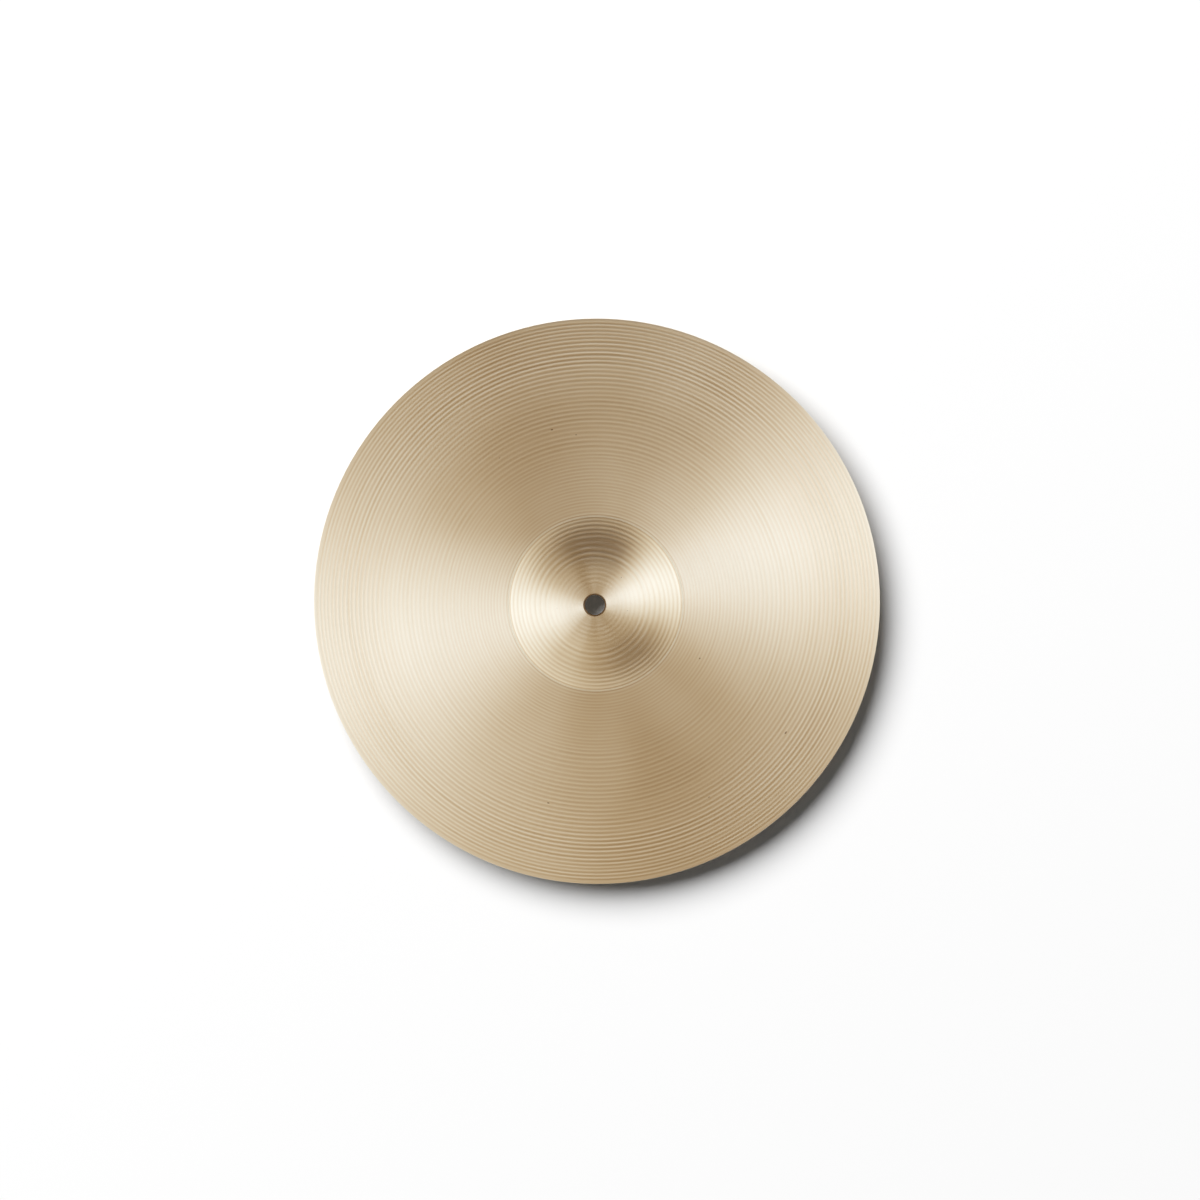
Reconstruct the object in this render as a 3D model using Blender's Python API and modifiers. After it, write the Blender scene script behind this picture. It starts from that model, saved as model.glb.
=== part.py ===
"""A 14 inch crash cymbal: one turned plate of cast bronze.

The plate is a single piece of metal. A domed cup carries the mounting hole, a tight fillet joins the cup
to the bow, and the bow falls away in a long shallow arc to a thin rounded rim. The underside follows the
upper side at a thickness that thins from the cup to the rim.

Units are metres and +Z is up. The origin is on the hole's axis, in the plane that the rim rests on.
Run it with: blender --background --python part.py
"""

import math

import bmesh
import bpy

# Driving dimensions of the outline, seen from above.
CYMBAL_DIAMETER = 0.3556
CUP_DIAMETER = 0.1100  # where the fillet ends and the bow begins
SEAT_DIAMETER = 0.0200  # flat ring round the hole, where the felts clamp
HOLE_DIAMETER = 0.0125

# The upper side leaves the seat level and is a chain of arcs that meet tangentially. A slope is how far
# the surface has tipped below level.
CUP_SLOPE = math.radians(41.0)  # steepest part of the cup, where its fillet starts
BOW_START_SLOPE = math.radians(4.5)
BOW_EDGE_SLOPE = math.radians(8.5)
FILLET_RADIUS = 0.0022

# Plate thickness, square to the surface.
CUP_THICKNESS = 0.00125
RIM_THICKNESS = 0.00085

# Edge details.
HOLE_BREAK = 0.00045  # edges of the hole broken at 45 degrees, above and below
RIM_ROUND = 0.00020  # how far the rim bulges past the ends of the two faces
RIM_LAND = 0.00060  # narrow level face under the rim, on which the cymbal lies

# How finely each stretch is divided.
TURN_STEPS = 72
CROWN_STEPS = 9
FILLET_STEPS = 4
BOW_STEPS = 8
RIM_STEPS = 6

BRONZE_COLOUR = (0.66, 0.50, 0.30, 1.0)
BRONZE_ROUGHNESS = 0.34


def add_arc(points, end_slope, radius, steps):
    """Carries the line of (r, z, slope) points on along an arc, from its last slope to end_slope."""
    start_r, start_z, start_slope = points[-1]
    side = 1.0 if end_slope > start_slope else -1.0  # a fillet bends the other way
    for step in range(1, steps + 1):
        slope = start_slope + (end_slope - start_slope) * step / steps
        r = start_r + side * radius * (math.sin(slope) - math.sin(start_slope))
        z = start_z - side * radius * (math.cos(start_slope) - math.cos(slope))
        points.append((r, z, slope))


def upper_side():
    """(r, z, slope) points of the upper side from the hole's edge to the rim, with z 0 at the seat."""
    seat_r = SEAT_DIAMETER / 2
    cup_r = CUP_DIAMETER / 2
    rim_r = CYMBAL_DIAMETER / 2 - RIM_ROUND
    fillet_run = FILLET_RADIUS * (math.sin(CUP_SLOPE) - math.sin(BOW_START_SLOPE))
    crown_radius = (cup_r - fillet_run - seat_r) / math.sin(CUP_SLOPE)
    bow_radius = (rim_r - cup_r) / (math.sin(BOW_EDGE_SLOPE) - math.sin(BOW_START_SLOPE))

    points = [(HOLE_DIAMETER / 2 + HOLE_BREAK, 0.0, 0.0), (seat_r, 0.0, 0.0)]
    add_arc(points, CUP_SLOPE, crown_radius, CROWN_STEPS)
    add_arc(points, BOW_START_SLOPE, FILLET_RADIUS, FILLET_STEPS)
    add_arc(points, BOW_EDGE_SLOPE, bow_radius, BOW_STEPS)
    return points


def plate_thickness(r):
    """Thickness of the plate at radius r: even under the seat, then thinning steadily to the rim."""
    seat_r = SEAT_DIAMETER / 2
    share = max(0.0, (r - seat_r) / (CYMBAL_DIAMETER / 2 - seat_r))
    return CUP_THICKNESS + (RIM_THICKNESS - CUP_THICKNESS) * share


def under_side(upper):
    """(r, z) points of the underside, each one plate thickness below its point of the upper side.

    The last point is drawn back along the surface by the rim's land, which levels off the corner.
    """
    points = []
    for r, z, slope in upper:
        thickness = plate_thickness(r)
        points.append((r - thickness * math.sin(slope), z - thickness * math.cos(slope)))
    corner_r, corner_z = points[-1]
    points[-1] = (
        corner_r - RIM_LAND * math.cos(BOW_EDGE_SLOPE),
        corner_z + RIM_LAND * math.sin(BOW_EDGE_SLOPE),
    )
    return points


def rim_bulge(top_z, bottom_z):
    """(r, z) points round the rim's outer edge, from just below the upper side to the land."""
    middle_z = (top_z + bottom_z) / 2
    half_height = (top_z - bottom_z) / 2
    start_r = CYMBAL_DIAMETER / 2 - RIM_ROUND
    points = []
    for step in range(1, RIM_STEPS + 1):
        angle = math.pi / 2 - math.pi * step / RIM_STEPS
        points.append((start_r + RIM_ROUND * math.cos(angle), middle_z + half_height * math.sin(angle)))
    return points


def plate_section():
    """(r, z) points of the plate's closed section: out along the top, round the rim, back underneath."""
    upper = upper_side()
    under = under_side(upper)
    land_z = under[-1][1]
    bulge = rim_bulge(upper[-1][1], land_z)
    hole_r = HOLE_DIAMETER / 2
    hole_wall = [
        (hole_r, under[0][1] + HOLE_BREAK),
        (hole_r, -HOLE_BREAK),
    ]
    section = [(r, z) for r, z, _ in upper] + bulge + under[::-1] + hole_wall
    return [(r, z - land_z) for r, z in section]


def clear_scene():
    for obj in list(bpy.data.objects):
        bpy.data.objects.remove(obj)


def bronze_material():
    material = bpy.data.materials.new("bronze")
    material.use_nodes = True
    shader = material.node_tree.nodes["Principled BSDF"]
    shader.inputs["Base Color"].default_value = BRONZE_COLOUR
    shader.inputs["Metallic"].default_value = 1.0
    shader.inputs["Roughness"].default_value = BRONZE_ROUGHNESS
    return material


def turned_piece(name, section, material, collection):
    """An object whose closed section of (r, z) points is turned a whole circle about the Z axis."""
    shape = bmesh.new()
    corners = [shape.verts.new((r, 0.0, z)) for r, z in section]
    for first, second in zip(corners, corners[1:] + corners[:1]):
        shape.edges.new((first, second))
    mesh = bpy.data.meshes.new(name)
    shape.to_mesh(mesh)
    shape.free()
    mesh.materials.append(material)

    piece = bpy.data.objects.new(name, mesh)
    collection.objects.link(piece)
    turn = piece.modifiers.new("turn", "SCREW")
    turn.axis = "Z"
    turn.angle = math.tau
    turn.steps = TURN_STEPS
    turn.render_steps = TURN_STEPS
    turn.use_merge_vertices = True
    turn.merge_threshold = 0.00001
    turn.use_smooth_shade = True
    return piece


def build():
    clear_scene()
    collection = bpy.data.collections.new("crash_cymbal")
    bpy.context.scene.collection.children.link(collection)
    turned_piece("cymbal", plate_section(), bronze_material(), collection)


build()
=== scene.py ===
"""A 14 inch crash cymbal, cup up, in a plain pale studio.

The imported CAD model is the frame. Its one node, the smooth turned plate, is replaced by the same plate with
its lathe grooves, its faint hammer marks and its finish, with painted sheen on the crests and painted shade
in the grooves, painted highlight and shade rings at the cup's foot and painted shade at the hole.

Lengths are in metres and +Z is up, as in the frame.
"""

import math

import bpy
import numpy as np
from mathutils import Matrix, Vector


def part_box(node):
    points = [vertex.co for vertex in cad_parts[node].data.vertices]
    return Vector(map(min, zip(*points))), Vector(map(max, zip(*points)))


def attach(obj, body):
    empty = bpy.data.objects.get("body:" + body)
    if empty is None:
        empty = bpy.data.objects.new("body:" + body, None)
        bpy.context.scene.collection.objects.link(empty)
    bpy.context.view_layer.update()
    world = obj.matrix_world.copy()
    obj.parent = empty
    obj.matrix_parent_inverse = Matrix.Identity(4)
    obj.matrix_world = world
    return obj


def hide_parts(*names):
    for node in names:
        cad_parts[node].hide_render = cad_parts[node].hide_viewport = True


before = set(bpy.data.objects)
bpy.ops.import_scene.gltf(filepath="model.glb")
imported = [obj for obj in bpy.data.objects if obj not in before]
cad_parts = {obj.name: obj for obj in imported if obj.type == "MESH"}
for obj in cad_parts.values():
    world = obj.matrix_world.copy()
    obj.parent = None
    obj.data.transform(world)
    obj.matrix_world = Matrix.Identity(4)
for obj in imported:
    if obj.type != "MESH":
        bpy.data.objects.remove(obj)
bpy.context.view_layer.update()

# ---------------------------------------------------------------- the plate's sizes, as in the CAD model
CAD_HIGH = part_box("cymbal")[1]  # the plate's highest corner
RADIUS = CAD_HIGH.x
SEAT_Z = CAD_HIGH.z
HOLE_RADIUS = 0.00625
SEAT_RADIUS = 0.0100
CUP_RADIUS = 0.0550
CUP_SLOPE = math.radians(41.0)
BOW_START_SLOPE = math.radians(4.5)
BOW_EDGE_SLOPE = math.radians(8.5)
FILLET_RADIUS = 0.0022
CUP_THICKNESS = 0.00125
RIM_THICKNESS = 0.00085
HOLE_BREAK = 0.00045
RIM_ROUND = 0.00020
RIM_LAND = 0.00060

SHARP_ANGLE = math.radians(30)
TURN_SEGMENTS = 144  # how finely the section is turned about the axis


# ---------------------------------------------------------------- the turned section
# The upper side is a level seat, then the cup's arc, a fillet and the bow's arc. Heights count from the seat.
FILLET_RUN = FILLET_RADIUS * (math.sin(CUP_SLOPE) - math.sin(BOW_START_SLOPE))
CROWN_EDGE = CUP_RADIUS - FILLET_RUN
CROWN_ARC = (CROWN_EDGE - SEAT_RADIUS) / math.sin(CUP_SLOPE)
BOW_EDGE = RADIUS - RIM_ROUND
BOW_ARC = (BOW_EDGE - CUP_RADIUS) / (math.sin(BOW_EDGE_SLOPE) - math.sin(BOW_START_SLOPE))
CROWN_EDGE_Z = -CROWN_ARC * (1 - math.cos(CUP_SLOPE))
CUP_FOOT_Z = CROWN_EDGE_Z - FILLET_RADIUS * (math.cos(BOW_START_SLOPE) - math.cos(CUP_SLOPE))


def surface(r):
    """(height below the seat, slope) of the plate's smooth upper side at radius r."""
    if r <= SEAT_RADIUS:
        return 0.0, 0.0
    if r <= CROWN_EDGE:
        slope = math.asin((r - SEAT_RADIUS) / CROWN_ARC)
        return -CROWN_ARC * (1 - math.cos(slope)), slope
    if r <= CUP_RADIUS:
        slope = math.asin(math.sin(BOW_START_SLOPE) + (CUP_RADIUS - r) / FILLET_RADIUS)
        return CUP_FOOT_Z + FILLET_RADIUS * (math.cos(BOW_START_SLOPE) - math.cos(slope)), slope
    slope = math.asin(math.sin(BOW_START_SLOPE) + (r - CUP_RADIUS) / BOW_ARC)
    return CUP_FOOT_Z - BOW_ARC * (math.cos(BOW_START_SLOPE) - math.cos(slope)), slope


def thickness(r):
    """Thickness of the plate at radius r: even under the seat, then thinning steadily to the rim."""
    share = max(0.0, (r - SEAT_RADIUS) / (RADIUS - SEAT_RADIUS))
    return CUP_THICKNESS + (RIM_THICKNESS - CUP_THICKNESS) * share


# The lathe's bands, from the hole outwards: where each ends, its groove pitch, its groove depth and how
# strongly the tool's finish, with the painted sheen and shade that go with it, alternates between a groove's
# crest and its bottom.
TOP_BANDS = [
    (0.0120, 0.0013, 0.000006, 0.15),
    (0.0280, 0.0027, 0.000025, 0.34),
    (0.0410, 0.0032, 0.000110, 0.85),
    (0.0533, 0.00262, 0.000105, 0.90),
    (0.0566, 0.0020, 0.000020, 0.90),
    (0.0750, 0.0020, 0.000016, 0.44),
    (0.0940, 0.0022, 0.000020, 0.42),
    (0.1130, 0.0028, 0.000034, 0.46),
    (0.1350, 0.0027, 0.000036, 0.55),
    (0.1500, 0.0027, 0.000058, 0.70),
    (0.1650, 0.00265, 0.000068, 1.00),
    (0.1768, 0.00228, 0.000056, 0.85),
]
UNDER_BANDS = [
    (0.0300, 0.0026, 0.000020, 0.30),
    (0.0560, 0.0031, 0.000040, 0.50),
    (0.1100, 0.0035, 0.000030, 0.40),
    (0.1765, 0.0031, 0.000045, 0.80),
]
# How narrow a groove is beside its crest: 1 is a half sine, and more is a wider crest and a narrower bottom.
CUP_GROOVE_SHAPE = 2.6
BOW_GROOVE_SHAPE = 1.4
PITCH_SPREAD = 0.04  # how far one groove's pitch strays from its band's, as a share of it
DEPTH_SPREAD = 0.10  # the same for its depth and its finish, with its painted sheen and shade
TOP_SAMPLES = 6  # points to a groove
UNDER_SAMPLES = 4
TOP_LAND = 0.0005  # a band without grooves between the hole's broken edge and the first groove, in the hole's painted shade
UNDER_LAND = 0.0003
RIM_STEPS = 11  # round the rim's outer edge


def groove_line(bands, start, samples, rng):
    """(r, depth, finish and painted sheen) along a side: one shallow scallop after another, each a little
    unlike the next.

    The finish, which also sets the painted sheen on the crests and the painted shade in the grooves, runs
    from the band's strength at a crest to minus that at the bottom of a groove.
    """
    line = []
    r = start
    for end, pitch, depth, strength in bands:
        while r < end - pitch * 0.5:
            width = pitch * rng.uniform(1 - PITCH_SPREAD, 1 + PITCH_SPREAD)
            deep = depth * rng.uniform(1 - DEPTH_SPREAD, 1 + DEPTH_SPREAD)
            finish_and_sheen = strength * rng.uniform(1 - DEPTH_SPREAD, 1 + DEPTH_SPREAD)
            shape = CUP_GROOVE_SHAPE if r < CUP_RADIUS else BOW_GROOVE_SHAPE
            for step in range(samples):
                wave = math.sin(math.pi * step / samples) ** shape
                line.append((r + width * step / samples, deep * wave, finish_and_sheen * (1 - 2 * wave)))
            r += width
    line.append((r, 0.0, 0.0))
    return line


def section():
    """The closed section, as arrays of r, z, side and finish.

    The side is 1 on top and -1 underneath, and 0 round the rim and at the hole, where no grooves are.
    """
    rng = np.random.default_rng(14)
    start = HOLE_RADIUS + HOLE_BREAK
    points = [(start, 0.0, 0, 0.0)]
    for r, deep, finish_and_sheen in groove_line(TOP_BANDS, start + TOP_LAND, TOP_SAMPLES, rng):
        z, slope = surface(r)
        points.append((r - deep * math.sin(slope), z - deep * math.cos(slope), 1, finish_and_sheen))
    top_z, edge_slope = surface(BOW_EDGE)
    points.append((BOW_EDGE, top_z, 0, 0.0))

    under = []
    for r, deep, finish_and_sheen in groove_line(UNDER_BANDS, start + UNDER_LAND, UNDER_SAMPLES, rng):
        z, slope = surface(r)
        drop = thickness(r) - deep
        under.append((r - drop * math.sin(slope), z - drop * math.cos(slope), -1, finish_and_sheen))

    drop = thickness(BOW_EDGE)
    land_r = BOW_EDGE - drop * math.sin(edge_slope) - RIM_LAND * math.cos(edge_slope)
    land_z = top_z - drop * math.cos(edge_slope) + RIM_LAND * math.sin(edge_slope)
    middle_z = (top_z + land_z) / 2
    half_height = (top_z - land_z) / 2
    for step in range(1, RIM_STEPS):
        angle = math.pi / 2 - math.pi * step / RIM_STEPS
        bulge_r = BOW_EDGE + RIM_ROUND * math.cos(angle)
        points.append((bulge_r, middle_z + half_height * math.sin(angle), 0, 0.0))
    points.append((BOW_EDGE, land_z, 0, 0.0))
    points.append((land_r, land_z, 0, 0.0))
    points += under[::-1]
    points.append((start, -CUP_THICKNESS, 0, 0.0))
    points.append((HOLE_RADIUS, -CUP_THICKNESS + HOLE_BREAK, 0, 0.0))
    points.append((HOLE_RADIUS, -HOLE_BREAK, 0, 0.0))
    table = np.array(points)
    return table[:, 0], table[:, 1] - land_z, table[:, 2].astype(int), table[:, 3]


HAMMER_MARKS = 150
HAMMER_INNER, HAMMER_OUTER = 0.025, 0.172  # radii between which the hammer fell
HAMMER_SPREAD = (0.008, 0.020)  # the least and the most
HAMMER_HEIGHT = 0.00005  # the most that one mark lifts or sinks the plate
FADE_START, FADE_RUN = 0.012, 0.010  # the marks come in over this stretch outside the seat
FADE_END, FADE_OUT = 0.1765, 0.020  # and go out over this one, so that the rim stays level


def hammering(x, y):
    """Height left over from the hammer marks: a scatter of broad shallow dimples over the bow and the cup."""
    rng = np.random.default_rng(7)
    height = np.zeros_like(x)
    for _ in range(HAMMER_MARKS):
        r = math.sqrt(rng.uniform(HAMMER_INNER ** 2, HAMMER_OUTER ** 2))
        turn = rng.uniform(0, math.tau)
        spread = rng.uniform(*HAMMER_SPREAD)
        depth = rng.uniform(-1, 1) * HAMMER_HEIGHT
        cx, cy = r * math.cos(turn), r * math.sin(turn)
        height += depth * np.exp(-((x - cx) ** 2 + (y - cy) ** 2) / (2 * spread ** 2))
    return height


def plate_mesh():
    """The plate: its section turned about the axis, with the hammer marks and each point's finish and painted
    sheen.
    """
    r, z, side, finish_and_sheen = section()
    count = len(r)
    turns = np.arange(TURN_SEGMENTS) * math.tau / TURN_SEGMENTS
    x = r[None, :] * np.cos(turns)[:, None]
    y = r[None, :] * np.sin(turns)[:, None]
    fade = np.clip((r - FADE_START) / FADE_RUN, 0, 1) * np.clip((FADE_END - r) / FADE_OUT, 0, 1)
    up = z[None, :] + hammering(x, y) * fade[None, :]
    verts = np.stack([x, y, up], -1).reshape(-1, 3)

    turn = np.arange(TURN_SEGMENTS)[:, None] * count
    next_turn = np.roll(turn, -1, axis=0)
    here = np.arange(count)[None, :]
    there = np.roll(here, -1, axis=1)
    corners = [turn + here, turn + there, next_turn + there, next_turn + here]
    faces = np.stack(corners, -1).reshape(-1, 4)

    mesh = bpy.data.meshes.new("cymbal_plate")
    mesh.from_pydata(verts.tolist(), [], faces.tolist())
    # Faces at the hole get the second material, which paints shade on the hole's edges and wall, and all
    # others the first.
    hole_shade_faces = ((side == 0) | (np.roll(side, -1) == 0)) & (r < SEAT_RADIUS)
    index = np.tile(np.where(hole_shade_faces, 1, 0), TURN_SEGMENTS)
    mesh.polygons.foreach_set("material_index", index.astype(np.int32))
    layer = mesh.attributes.new("finish_and_sheen", "FLOAT", "POINT")
    layer.data.foreach_set("value", np.tile(finish_and_sheen, TURN_SEGMENTS).astype(np.float32))
    mesh.shade_smooth()
    mesh.set_sharp_from_angle(angle=SHARP_ANGLE)
    mesh.update()
    return mesh


# ---------------------------------------------------------------- materials
BOW_ROUGHNESS, RIM_ROUGHNESS = 0.29, 0.336
FINISH_ROUGHNESS = 0.075  # what a whole step of coarser finish adds
FINEST_ROUGHNESS = 0.278  # smoother metal counts as a mirror when Cycles denoises, which blotches the grooves
RUBBED_ROUGHNESS = 0.28  # added along the rubbed ring at the cup's foot
CUP_STRETCH, BOW_STRETCH, RIM_STRETCH = 0.88, 0.78, 0.56  # how far highlights are drawn across the grooves
FINISH_STRETCH = 0.30  # what a whole step of coarser finish takes off
ACROSS_GROOVES = 0.25  # quarter of a turn, from along the grooves to across them

# How strongly the finish swings from crest to groove in roughness, and in colour as painted sheen and shade.
CUP_SWING, BOW_SWING, RIM_SWING = 1.5, 1.0, 1.35
CUP_TINT, BOW_TINT, RIM_TINT = 0.6, 1.0, 0.9
PATCH_SWING, PATCH_TINT, STREAK_TINT = 0.22, 0.12, 0.4

# Noises, as changes in a metre of radius and changes to a radian round the plate.
STREAK_NOISE = (700.0, 0.8)
PATCH_NOISE, PATCH_RANGE = (12.0, 2.2), (0.34, 0.66)
FADING_NOISE, FADING_RANGE = (330.0, 3.0), (0.30, 0.70)
FADING_LEAST, FADING_MOST = 0.60, 1.40

BOW_BLEND = (0.0465, 0.0565)  # radii over which the cup's finish turns into the bow's
RIM_BLEND = (0.118, 0.155)  # and the bow's into the rim's
PAINTED_FOOT_RINGS = [(0.0535, -0.8), (0.0545, 1.6), (0.0555, -0.3)]  # painted highlight and painted shade rings at the cup's foot: radius, and how much paler or darker
PAINTED_FOOT_RING_HALF = 0.0008
RUBBED_RADIUS, RUBBED_HALF = 0.0545, 0.0012

# Painted sheen and shade: the crests get the paler colour and the bottoms of the grooves the darker one.
GROOVE_SHADE_COLOUR = (0.800, 0.664, 0.468, 1.0)
CREST_SHEEN_COLOUR = (0.985, 0.926, 0.772, 1.0)
PIT_COLOUR = (0.30, 0.20, 0.11, 1.0)
PIT_ROWS, PIT_COLUMNS = 340.0, 22.0  # places for a nick, to a metre of radius and to a radian
PIT_RARITY = 0.9965  # share of the places that hold none
PIT_CORE, PIT_EDGE, PIT_DARKNESS = 0.10, 0.20, 0.8
# Painted shade for the hole's edges and wall: two dark browns, mottled at random.
HOLE_SHADE_COLOUR = (0.20, 0.125, 0.06, 1.0)
HOLE_SHADE_MOTTLE_COLOUR = (0.34, 0.22, 0.115, 1.0)
CUT_ROUGHNESS, WORN_ROUGHNESS = 0.40, 0.50
WEAR_SCALE, WEAR_RANGE = 900.0, (0.3, 0.7)


class Nodes:
    """Short calls for building a node tree."""

    def __init__(self, tree):
        self.tree = tree
        tree.nodes.clear()

    def add(self, kind, **settings):
        node = self.tree.nodes.new(kind)
        for name, value in settings.items():
            setattr(node, name, value)
        return node

    def put(self, socket, value):
        if isinstance(value, bpy.types.NodeSocket):
            self.tree.links.new(value, socket)
        else:
            socket.default_value = value

    def math(self, operation, *values):
        node = self.add("ShaderNodeMath", operation=operation)
        for socket, value in zip(node.inputs, values):
            self.put(socket, value)
        return node.outputs[0]

    def noise(self, vector, scale, detail):
        node = self.add("ShaderNodeTexNoise")
        self.put(node.inputs["Vector"], vector)
        node.inputs["Scale"].default_value = scale
        node.inputs["Detail"].default_value = detail
        node.inputs["Roughness"].default_value = 0.5
        return node.outputs["Fac"]

    def remap(self, value, low, high, to_low=0.0, to_high=1.0, smooth=False):
        node = self.add("ShaderNodeMapRange", interpolation_type="SMOOTHSTEP" if smooth else "LINEAR")
        for socket, given in zip(node.inputs, (value, low, high, to_low, to_high)):
            self.put(socket, given)
        return node.outputs[0]

    def combine(self, x, y, z):
        node = self.add("ShaderNodeCombineXYZ")
        for socket, value in zip(node.inputs, (x, y, z)):
            self.put(socket, value)
        return node.outputs[0]

    def mix(self, share, first, second):
        """A mix of two colours, whose sockets come after a Mix node's number and vector ones."""
        node = self.add("ShaderNodeMix", data_type="RGBA")
        self.put(node.inputs[0], share)
        self.put(node.inputs[6], first)
        self.put(node.inputs[7], second)
        return node.outputs[2]


def polar(nodes):
    """The object's own x and y, and the distance from the axis."""
    split = nodes.add("ShaderNodeSeparateXYZ")
    nodes.put(split.inputs[0], nodes.add("ShaderNodeTexCoord").outputs["Object"])
    x, y = split.outputs[:2]
    square = nodes.math("ADD", nodes.math("MULTIPLY", x, x), nodes.math("MULTIPLY", y, y))
    radius = nodes.math("SQRT", square)
    return x, y, radius


def lathed_bronze():
    """The turned surface: rings of finer and coarser finish, paler crests of painted sheen and darker grooves
    of painted shade, stretched highlights and a little patchiness.
    """
    material = bpy.data.materials.new("bronze_lathed")
    material.use_nodes = True
    nodes = Nodes(material.node_tree)
    x, y, radius = polar(nodes)
    away_x = nodes.math("DIVIDE", x, radius)
    away_y = nodes.math("DIVIDE", y, radius)

    def around(rings, turns, detail=2.0):
        """Noise that changes at these rates outwards and round the plate."""
        where = nodes.combine(nodes.math("MULTIPLY", radius, rings), nodes.math("MULTIPLY", away_x, turns),
                              nodes.math("MULTIPLY", away_y, turns))
        return nodes.noise(where, 1.0, detail)

    def by_zone(cup_value, bow_value, rim_value):
        """A value that blends from the cup's to the bow's, and from the bow's to the rim's."""
        inner = nodes.remap(bow, 0.0, 1.0, cup_value, bow_value)
        return nodes.math("ADD", inner, nodes.remap(rim, 0.0, 1.0, 0.0, rim_value - bow_value))

    streaks = around(*STREAK_NOISE)
    patches = nodes.remap(around(*PATCH_NOISE, detail=0.0), *PATCH_RANGE, -1.0, 1.0, smooth=True)
    fading = nodes.remap(around(*FADING_NOISE), *FADING_RANGE, FADING_LEAST, FADING_MOST)
    bow = nodes.remap(radius, *BOW_BLEND, smooth=True)
    rim = nodes.remap(radius, *RIM_BLEND, smooth=True)

    finish_and_sheen = nodes.add("ShaderNodeAttribute", attribute_name="finish_and_sheen").outputs["Fac"]
    finish_and_sheen = nodes.math("MULTIPLY", finish_and_sheen, fading)

    # The tool left a coarser finish towards the rim and on the crests, and patches of both everywhere.
    swing = nodes.math("MULTIPLY", finish_and_sheen, by_zone(CUP_SWING, BOW_SWING, RIM_SWING))
    coarse = nodes.math("ADD", swing, nodes.math("MULTIPLY", patches, PATCH_SWING))
    roughness = nodes.math("ADD", nodes.remap(rim, 0.0, 1.0, BOW_ROUGHNESS, RIM_ROUGHNESS),
                           nodes.math("MULTIPLY", coarse, FINISH_ROUGHNESS))
    stretch = nodes.math("SUBTRACT", by_zone(CUP_STRETCH, BOW_STRETCH, RIM_STRETCH),
                         nodes.math("MULTIPLY", coarse, FINISH_STRETCH))

    # The cup's foot is rubbed dull along its fillet.
    rubbed = nodes.math("MULTIPLY", ring(nodes, radius, RUBBED_RADIUS, RUBBED_HALF), RUBBED_ROUGHNESS)
    roughness = nodes.math("MAXIMUM", nodes.math("ADD", roughness, rubbed), FINEST_ROUGHNESS)

    # Painted sheen and shade: crests are a paler bronze than the bottoms of the grooves. The ring along the
    # fillet is a painted highlight, between two thin rings of painted shade.
    tone = nodes.math("MULTIPLY", finish_and_sheen, by_zone(CUP_TINT, BOW_TINT, RIM_TINT))
    streaks = nodes.math("MULTIPLY", nodes.math("SUBTRACT", streaks, 0.5), STREAK_TINT)
    tone = nodes.math("ADD", tone, streaks)
    tone = nodes.math("ADD", tone, nodes.math("MULTIPLY", patches, PATCH_TINT))
    # Painted highlight and painted shade rings along the cup's foot.
    for middle, lift in PAINTED_FOOT_RINGS:
        painted_ring = nodes.math("MULTIPLY", ring(nodes, radius, middle, PAINTED_FOOT_RING_HALF), lift)
        tone = nodes.math("ADD", tone, painted_ring)
    colour = nodes.mix(nodes.remap(tone, -1.0, 1.0), GROOVE_SHADE_COLOUR, CREST_SHEEN_COLOUR)

    shader = nodes.add("ShaderNodeBsdfPrincipled")
    shader.inputs["Metallic"].default_value = 1.0
    shader.inputs["Anisotropic Rotation"].default_value = ACROSS_GROOVES
    nodes.put(shader.inputs["Base Color"], nodes.mix(pits(nodes, x, y, radius), colour, PIT_COLOUR))
    nodes.put(shader.inputs["Roughness"], roughness)
    nodes.put(shader.inputs["Anisotropic"], stretch)
    tangent = nodes.add("ShaderNodeTangent", direction_type="RADIAL", axis="Z")
    nodes.put(shader.inputs["Tangent"], tangent.outputs[0])
    output = nodes.add("ShaderNodeOutputMaterial")
    nodes.put(output.inputs[0], shader.outputs[0])
    return material


def ring(nodes, radius, middle, half_width):
    """1 on a circle, falling smoothly to 0 at half_width on either side of it."""
    away = nodes.math("ABSOLUTE", nodes.math("SUBTRACT", radius, middle))
    return nodes.remap(away, 0.0, half_width, 1.0, 0.0, smooth=True)


def pits(nodes, x, y, radius):
    """Most of 1 inside a few short dark nicks that lie along the grooves, and 0 elsewhere."""
    cells = nodes.add("ShaderNodeTexVoronoi")
    turn = nodes.math("ARCTAN2", y, x)
    nodes.put(cells.inputs["Vector"], nodes.combine(nodes.math("MULTIPLY", radius, PIT_ROWS),
                                                    nodes.math("MULTIPLY", turn, PIT_COLUMNS), 0.0))
    cells.inputs["Scale"].default_value = 1.0
    draw = nodes.add("ShaderNodeSeparateXYZ")
    nodes.put(draw.inputs[0], cells.outputs["Color"])
    chosen = nodes.math("GREATER_THAN", draw.outputs[0], PIT_RARITY)
    near = nodes.remap(cells.outputs["Distance"], PIT_CORE, PIT_EDGE, PIT_DARKNESS, 0.0, smooth=True)
    return nodes.math("MULTIPLY", chosen, near)


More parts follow.
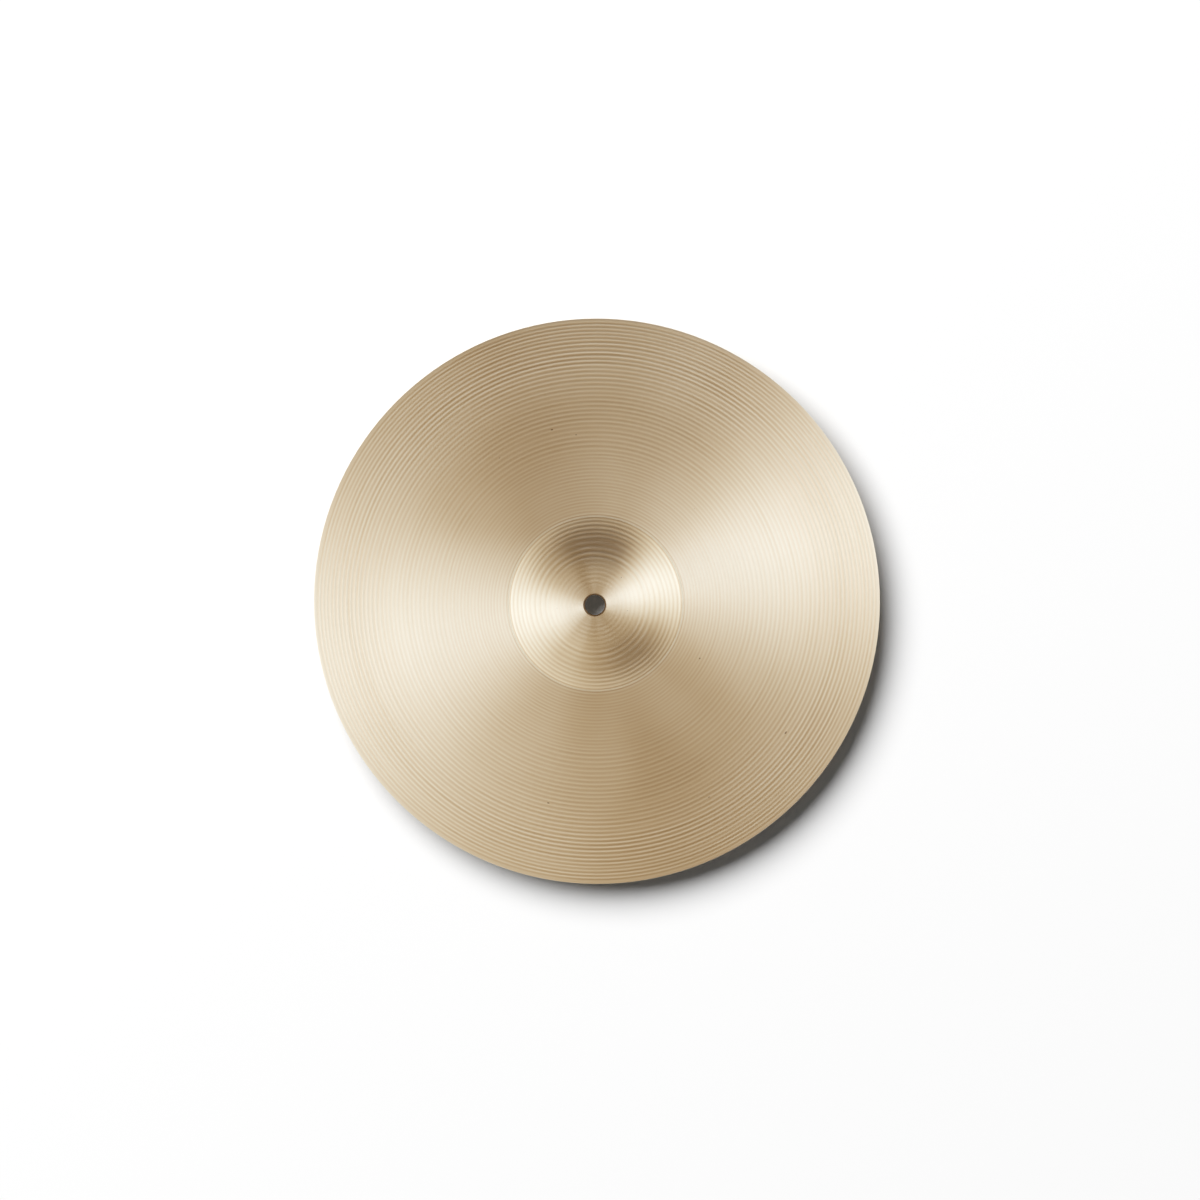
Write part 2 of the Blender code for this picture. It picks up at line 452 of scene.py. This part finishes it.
def hole_shade_bronze():
    """The hole's broken edges and its wall: painted shade, darker and browner, mottled at random, and without
    the lathe's rings.
    """
    material = bpy.data.materials.new("bronze_hole_painted_shade")
    material.use_nodes = True
    nodes = Nodes(material.node_tree)
    place = nodes.add("ShaderNodeTexCoord").outputs["Object"]
    wear = nodes.noise(place, WEAR_SCALE, detail=3.0)
    shader = nodes.add("ShaderNodeBsdfPrincipled")
    shader.inputs["Metallic"].default_value = 1.0
    nodes.put(shader.inputs["Base Color"], nodes.mix(nodes.remap(wear, *WEAR_RANGE), HOLE_SHADE_COLOUR, HOLE_SHADE_MOTTLE_COLOUR))
    nodes.put(shader.inputs["Roughness"], nodes.remap(wear, *WEAR_RANGE, CUT_ROUGHNESS, WORN_ROUGHNESS))
    output = nodes.add("ShaderNodeOutputMaterial")
    nodes.put(output.inputs[0], shader.outputs[0])
    return material


plate = bpy.data.objects.new("cymbal_plate", plate_mesh())
bpy.context.scene.collection.objects.link(plate)
plate.data.materials.append(lathed_bronze())
plate.data.materials.append(hole_shade_bronze())
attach(plate, "root")
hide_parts("cymbal")


# ---------------------------------------------------------------- the studio
FLOOR_DROP = 0.0172  # from the rim to the floor
FLOOR_SIZE = 12.0
RISER_RADIUS = 0.060
RISER_GAP = 0.0003  # between the riser and the plate
RISER_GLOW = 0.02
PAPER_COLOUR = (0.90, 0.90, 0.90, 1.0)
WHITE = (1.0, 1.0, 1.0, 1.0)
FILL = 0.085  # even light on the floor from all sides
KEY_AZIMUTH = math.radians(130.0)
KEY_ELEVATION = math.radians(45.0)
KEY_DISTANCE = 20.0
KEY_WIDTH, KEY_HEIGHT = 21.0, 14.5
KEY_POWER = 6900.0


def paper(name, glow):
    """White paper. A faint glow of its own keeps the riser's top from going black under the plate."""
    material = bpy.data.materials.new(name)
    material.use_nodes = True
    shader = material.node_tree.nodes["Principled BSDF"]
    shader.inputs["Base Color"].default_value = PAPER_COLOUR
    shader.inputs["Roughness"].default_value = 1.0
    shader.inputs["Specular IOR Level"].default_value = 0.0
    shader.inputs["Emission Color"].default_value = WHITE
    shader.inputs["Emission Strength"].default_value = glow
    return material


def add_floor():
    """A white floor, with a low round riser under the bow that holds the rim clear of it."""
    bpy.ops.mesh.primitive_plane_add(size=FLOOR_SIZE, location=(0, 0, -FLOOR_DROP))
    floor = bpy.context.object
    floor.name = "floor"
    bow_z, slope = surface(RISER_RADIUS)
    top = SEAT_Z + bow_z - thickness(RISER_RADIUS) / math.cos(slope) - RISER_GAP
    bpy.ops.mesh.primitive_cylinder_add(vertices=128, radius=RISER_RADIUS, depth=top + FLOOR_DROP,
                                        location=(0, 0, (top - FLOOR_DROP) / 2))
    riser = bpy.context.object
    riser.name = "riser"
    floor.data.materials.append(paper("floor_paper", 0.0))
    riser.data.materials.append(paper("riser_paper", RISER_GLOW))


# The studio that the bronze reflects. A lamp brightens it and a flag, with a strength below zero, darkens it:
# azimuth and angle down from straight above, in degrees, then how tight it is and its strength.
# Most of these rows, and the levels below them, started from a least-squares fit of such a studio to the
# photo's brightness. They were rounded, and then some were changed and two added.
STUDIO = [
    (95, 43, 3.0, -0.78),
    (307, 40, 3.3, -0.86),
    (101, 51, 14.0, -0.20),
    (321, 46, 14.0, -0.09),
    (250, 37, 34.0, 0.50),
    (36, 43, 34.0, 0.63),
    (131, 29, 45.0, 0.75),
    (212, 25, 45.0, 0.60),
    (313, 22, 11.0, 1.00),
    (80, 18, 45.0, 1.00),
]
FAN_AZIMUTH = 9.0  # the line of the two wide lights on either side
FAN_POWER = 6.0  # how narrow they are
FAN_LEAST, FAN_MOST = 0.90, 1.10  # strength of the one opposite that azimuth, and of the one at it
FAN_TOP, FAN_HORIZON = 1.16, 0.33  # how bright they are straight above and at the horizon
SIDE_TOP, SIDE_HORIZON = 1.10, 0.60  # how fast the studio brightens on its way down to the horizon
SKY_LEVEL = 0.36  # the studio's brightness straight above, without its lights
DARKEST = 0.05
STUDIO_LEVEL = 0.975  # brightness of the whole
WARMTH = (0.81, 1.09, 1.57)  # red, green and blue as powers of brightness, so the dark parts are brown


def add_world():
    """White to the camera, the studio of lamps and flags to the bronze, and an even fill to the floor."""
    world = bpy.data.worlds.new("studio")
    bpy.context.scene.world = world
    world.use_nodes = True
    world.cycles.sampling_method = "NONE"
    nodes = Nodes(world.node_tree)
    coords = nodes.add("ShaderNodeTexCoord").outputs["Generated"]
    split = nodes.add("ShaderNodeSeparateXYZ")
    nodes.put(split.inputs[0], coords)
    x, y, z = split.outputs

    def glow(azimuth, tip, focus):
        """A soft round patch of sky, 1 in the middle."""
        turn, down = math.radians(azimuth), math.radians(tip)
        dot = nodes.add("ShaderNodeVectorMath", operation="DOT_PRODUCT")
        nodes.put(dot.inputs[0], coords)
        dot.inputs[1].default_value = (
            math.cos(turn) * math.sin(down), math.sin(turn) * math.sin(down), math.cos(down))
        behind = nodes.math("SUBTRACT", dot.outputs["Value"], 1.0)
        return nodes.math("EXPONENT", nodes.math("MULTIPLY", behind, focus))

    # low runs from 0 straight above to 1 at the horizon.
    low = nodes.math("SUBTRACT", 1.0, nodes.math("MAXIMUM", z, 0.0))
    turn = nodes.math("SUBTRACT", nodes.math("ARCTAN2", y, x), math.radians(FAN_AZIMUTH))
    swing = nodes.math("COSINE", turn)
    fan = nodes.math("POWER", nodes.math("ABSOLUTE", swing), FAN_POWER)
    fan = nodes.math("MULTIPLY", fan, nodes.remap(swing, -1.0, 1.0, FAN_LEAST, FAN_MOST))
    level = nodes.math("MULTIPLY", fan, nodes.remap(low, 0.0, 1.0, FAN_TOP, FAN_HORIZON))
    sides = nodes.math("MULTIPLY", low, nodes.remap(low, 0.0, 1.0, SIDE_TOP, SIDE_HORIZON))
    level = nodes.math("ADD", level, nodes.math("ADD", sides, SKY_LEVEL))
    for azimuth, tip, focus, strength in STUDIO:
        level = nodes.math("ADD", level, nodes.math("MULTIPLY", glow(azimuth, tip, focus), strength))
    level = nodes.math("MAXIMUM", level, DARKEST)
    tint = nodes.combine(*(nodes.math("POWER", level, power) for power in WARMTH))

    glossy = nodes.add("ShaderNodeBackground")
    nodes.put(glossy.inputs[0], tint)
    glossy.inputs[1].default_value = STUDIO_LEVEL
    fill = nodes.add("ShaderNodeBackground")
    fill.inputs[0].default_value = (FILL, FILL, FILL, 1)
    seen = nodes.add("ShaderNodeBackground")
    seen.inputs[0].default_value = WHITE

    path = nodes.add("ShaderNodeLightPath")
    first = nodes.add("ShaderNodeMixShader")
    nodes.put(first.inputs[0], path.outputs["Is Glossy Ray"])
    nodes.put(first.inputs[1], fill.outputs[0])
    nodes.put(first.inputs[2], glossy.outputs[0])
    second = nodes.add("ShaderNodeMixShader")
    nodes.put(second.inputs[0], path.outputs["Is Camera Ray"])
    nodes.put(second.inputs[1], first.outputs[0])
    nodes.put(second.inputs[2], seen.outputs[0])
    output = nodes.add("ShaderNodeOutputWorld")
    nodes.put(output.inputs[0], second.outputs[0])


def add_key():
    """One large distant lamp for the soft shadow. The bronze doesn't reflect it."""
    light = bpy.data.lights.new("key", "AREA")
    light.shape = "ELLIPSE"
    light.size, light.size_y = KEY_WIDTH, KEY_HEIGHT
    light.energy = KEY_POWER
    lamp = bpy.data.objects.new("key", light)
    level = math.cos(KEY_ELEVATION)
    towards = Vector((math.cos(KEY_AZIMUTH) * level, math.sin(KEY_AZIMUTH) * level, math.sin(KEY_ELEVATION)))
    place = towards * KEY_DISTANCE
    lamp.location = place
    lamp.rotation_euler = place.to_track_quat("Z", "Y").to_euler()
    lamp.visible_glossy = False
    bpy.context.scene.collection.objects.link(lamp)


CAMERA_TILT = math.radians(3.3)  # away from straight above
CAMERA_AZIMUTH = math.radians(60.0)
CAMERA_LENS, SENSOR_WIDTH = 100.0, 36.0
CAMERA_TARGET = Vector((0.00233, 0.00149, 0.0))
PLATE_SHARE = 0.47167  # of the picture's width


def add_camera():
    """A long lens nearly straight above, aimed so that the plate sits where the photo has it."""
    frame_width = 2 * RADIUS / PLATE_SHARE
    distance = CAMERA_LENS / SENSOR_WIDTH * frame_width
    side = math.sin(CAMERA_TILT)
    back = Vector((side * math.cos(CAMERA_AZIMUTH), side * math.sin(CAMERA_AZIMUTH), math.cos(CAMERA_TILT)))
    up = Vector((0, 1, 0))
    up = (up - back * up.dot(back)).normalized()
    right = up.cross(back)
    turned = Matrix((right, up, back)).transposed().to_4x4()
    data = bpy.data.cameras.new("camera")
    data.lens = CAMERA_LENS
    data.sensor_width = SENSOR_WIDTH
    data.clip_end = 50.0
    camera = bpy.data.objects.new("camera", data)
    camera.matrix_world = Matrix.Translation(CAMERA_TARGET + back * distance) @ turned
    bpy.context.scene.collection.objects.link(camera)
    bpy.context.scene.camera = camera


add_floor()
add_world()
add_key()
add_camera()
bpy.context.scene.view_settings.view_transform = "Standard"
